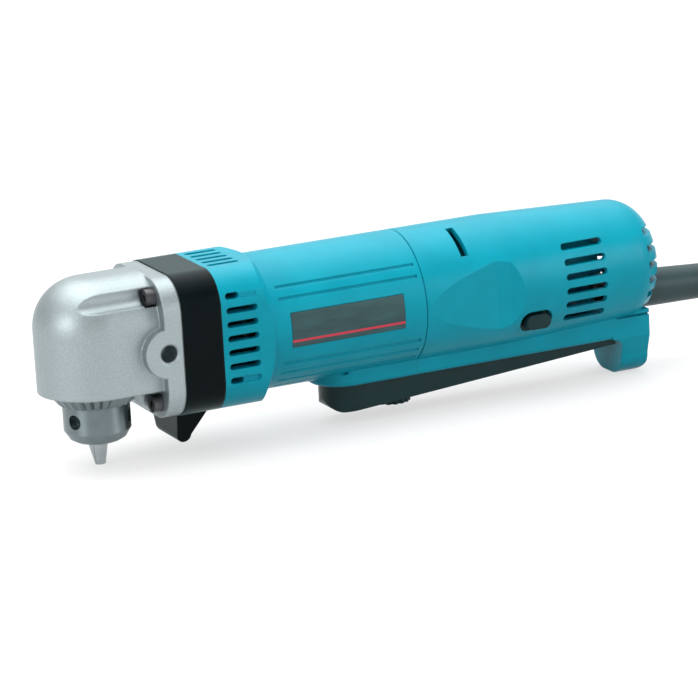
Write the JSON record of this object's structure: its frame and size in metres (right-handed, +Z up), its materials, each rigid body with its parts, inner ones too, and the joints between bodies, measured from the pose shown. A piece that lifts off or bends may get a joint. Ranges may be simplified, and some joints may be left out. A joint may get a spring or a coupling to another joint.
{
  "type": "right angle drill",
  "caption": "Corded right angle drill with a cast angle head, keyed chuck, round motor barrel, long switch lever, speed dial and a rear foot.",
  "frame": {"origin": "centre of the tool's own length and width, on the surface that the jaw tips and the foot stand on", "axes": "+X along the motor axis from the angle head to the cord, +Z up, -Y towards the side with the lock button"},
  "size_m": [0.5318, 0.0713, 0.077],
  "materials": {
    "housing": "moulded, fine grain, satin",
    "black_plastic": "moulded, fine grain, matt",
    "cast_alloy": "die cast and tumbled",
    "steel": "turned and ground",
    "chuck_steel": "turned, bright",
    "dark_steel": "oiled",
    "copper": "enamelled wire or bare bars",
    "brass": "turned",
    "carbon": "pressed carbon",
    "cord_rubber": "smooth jacket",
    "badge": "printed plate, satin",
    "band": "woven band"
  },
  "bodies": {
    "frame": {"gear_head": "cast_alloy", "bearing_box": "cast_alloy", "bearing_circlip": "dark_steel", "spindle_upper_bearing": "steel", "spindle_lower_bearing": "steel", "pinion_bearing": "steel", "pinion_bush": "brass", "gear_case": "cast_alloy", "head_screws": "dark_steel", "collar": "black_plastic", "motor_housing": "housing", "name_plate": "badge", "front_motor_bearing": "steel", "rear_motor_bearing": "steel", "field_core": "dark_steel", "field_coils": "copper", "brush_holders": "brass", "carbon_brushes": "carbon", "handle_left": "housing", "handle_right": "housing", "handle_screws": "dark_steel", "lever_pin": "steel", "switch_body": "black_plastic", "lock_bezel": "black_plastic", "cord_guard": "cord_rubber", "inner_cord": "cord_rubber", "cord_clamp": "black_plastic", "cord_lead": "cord_rubber", "cord_coil": "cord_rubber", "cord_tail": "cord_rubber", "cord_tie": "band", "plug_body": "cord_rubber", "plug_pins": "brass"},
    "armature": {"armature_shaft": "steel", "armature_core": "dark_steel", "commutator": "copper", "cooling_fan": "black_plastic"},
    "pinion": {"bevel_pinion": "dark_steel", "reduction_gear": "dark_steel"},
    "spindle": {"spindle": "steel", "bevel_gear": "dark_steel", "chuck_body": "chuck_steel"},
    "sleeve": {"chuck_sleeve": "chuck_steel", "chuck_nut": "brass"},
    "jaw_1": {"jaw_1": "chuck_steel"},
    "jaw_2": {"jaw_2": "chuck_steel"},
    "jaw_3": {"jaw_3": "chuck_steel"},
    "lever": {"switch_lever": "black_plastic"},
    "plunger": {"switch_plunger": "brass"},
    "dial": {"speed_dial": "black_plastic"},
    "lock": {"lock_button": "black_plastic"}
  },
  "joints": [
    {"name": "armature_spin", "type": "hinge", "parent": "frame", "child": "armature", "pos_m": [0, 0, 0.0475], "axis": [1, 0, 0], "continuous": true},
    {"name": "pinion_spin", "type": "hinge", "parent": "frame", "child": "pinion", "pos_m": [-0.085, 0, 0.059], "axis": [1, 0, 0], "continuous": true},
    {"name": "spindle_spin", "type": "hinge", "parent": "frame", "child": "spindle", "pos_m": [-0.11315, 0, 0.055], "axis": [0, 0, 1], "continuous": true},
    {"name": "sleeve_turn", "type": "hinge", "parent": "spindle", "child": "sleeve", "pos_m": [-0.11315, 0, 0.035], "axis": [0, 0, 1], "range_deg": [0, 2880]},
    {"name": "jaw_1_slide", "type": "slide", "parent": "spindle", "child": "jaw_1", "axis": [0.2306, 0.1175, 0.9659], "range_m": [0, 0.018]},
    {"name": "jaw_2_slide", "type": "slide", "parent": "spindle", "child": "jaw_2", "axis": [-0.2171, 0.141, 0.9659], "range_m": [0, 0.018]},
    {"name": "jaw_3_slide", "type": "slide", "parent": "spindle", "child": "jaw_3", "axis": [-0.0135, -0.2585, 0.9659], "range_m": [0, 0.018]},
    {"name": "lever_press", "type": "hinge", "parent": "frame", "child": "lever", "pos_m": [-0.00285, 0, 0.0193], "axis": [0, -1, 0], "range_deg": [0, 2.4], "stiffness_Nm_per_rad": 1.5, "springref_deg": -4.58},
    {"name": "plunger_slide", "type": "slide", "parent": "frame", "child": "plunger", "axis": [0, 0, 1], "range_m": [0, 0.00272]},
    {"name": "dial_turn", "type": "hinge", "parent": "lever", "child": "dial", "pos_m": [0.01665, 0, 0.0092], "axis": [0, 0, 1], "range_deg": [0, 270]},
    {"name": "lock_press", "type": "slide", "parent": "frame", "child": "lock", "axis": [0, 1, 0], "range_m": [0, 0.0025], "stiffness_N_per_m": 400, "springref_m": -0.002}
  ],
  "couplings": [
    {"joint": "pinion_spin", "follows": "armature_spin", "ratio": -0.35294},
    {"joint": "spindle_spin", "follows": "armature_spin", "ratio": 0.11765},
    {"joint": "plunger_slide", "follows": "lever_press", "m_per_rad": 0.065},
    {"joint": "jaw_1_slide", "follows": "sleeve_turn", "m_per_rad": 0.000358},
    {"joint": "jaw_2_slide", "follows": "sleeve_turn", "m_per_rad": 0.000358},
    {"joint": "jaw_3_slide", "follows": "sleeve_turn", "m_per_rad": 0.000358}
  ]
}
